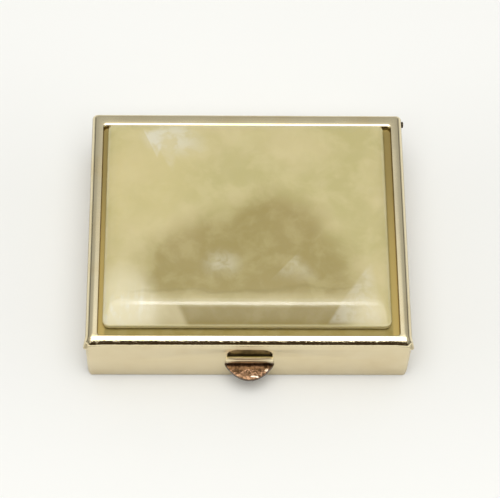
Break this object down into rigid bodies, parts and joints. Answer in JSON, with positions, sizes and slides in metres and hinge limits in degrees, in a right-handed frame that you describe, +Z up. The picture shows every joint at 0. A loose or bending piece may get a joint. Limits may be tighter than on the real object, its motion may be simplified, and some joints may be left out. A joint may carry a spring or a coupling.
{
  "type": "pill box",
  "caption": "Small hinged sheet-metal pill box with a polished domed stone slab set in the lid and a thumb tab at the front.",
  "frame": {"origin": "centre of the underside of the base, where the box rests", "axes": "+Z up, the front with the thumb tab faces -Y, +X to the right, hinge along the back edge parallel to X"},
  "size_m": [0.0504, 0.0438, 0.0136],
  "materials": {
    "gold_plated_brass": "polished pale gold plate",
    "gilt_lining": "satin gilt",
    "steel_pin": "drawn wire",
    "spring_bronze": "rolled strip",
    "copper_tab": "stamped, worn to copper",
    "onyx": "polished, translucent",
    "cement": "set cement"
  },
  "bodies": {
    "base": {"base_tray": "gold_plated_brass", "base_liner": "gilt_lining", "compartment_divider": "gilt_lining", "base_hinge_leaf": "gold_plated_brass", "hinge_pin": "steel_pin", "catch_foot": "spring_bronze", "catch_rivets": "steel_pin"},
    "catch": {"catch_leaf": "spring_bronze", "catch_nib": "spring_bronze"},
    "lid": {"lid_shell": "gold_plated_brass", "lid_liner": "gilt_lining", "lid_hinge_leaf": "gold_plated_brass", "stone_cement": "cement", "stone_slab": "onyx", "thumb_tab": "copper_tab"}
  },
  "joints": [
    {"name": "lid_hinge", "type": "hinge", "parent": "base", "child": "lid", "pos_m": [0, 0.01955, 0.00995], "axis": [-1, 0, 0], "range_deg": [0, 100]},
    {"name": "catch_spring", "type": "hinge", "parent": "base", "child": "catch", "pos_m": [0, -0.01903, 0.0026], "axis": [1, 0, 0], "range_deg": [-2.5, 3.5], "stiffness_Nm_per_rad": 0.05}
  ]
}
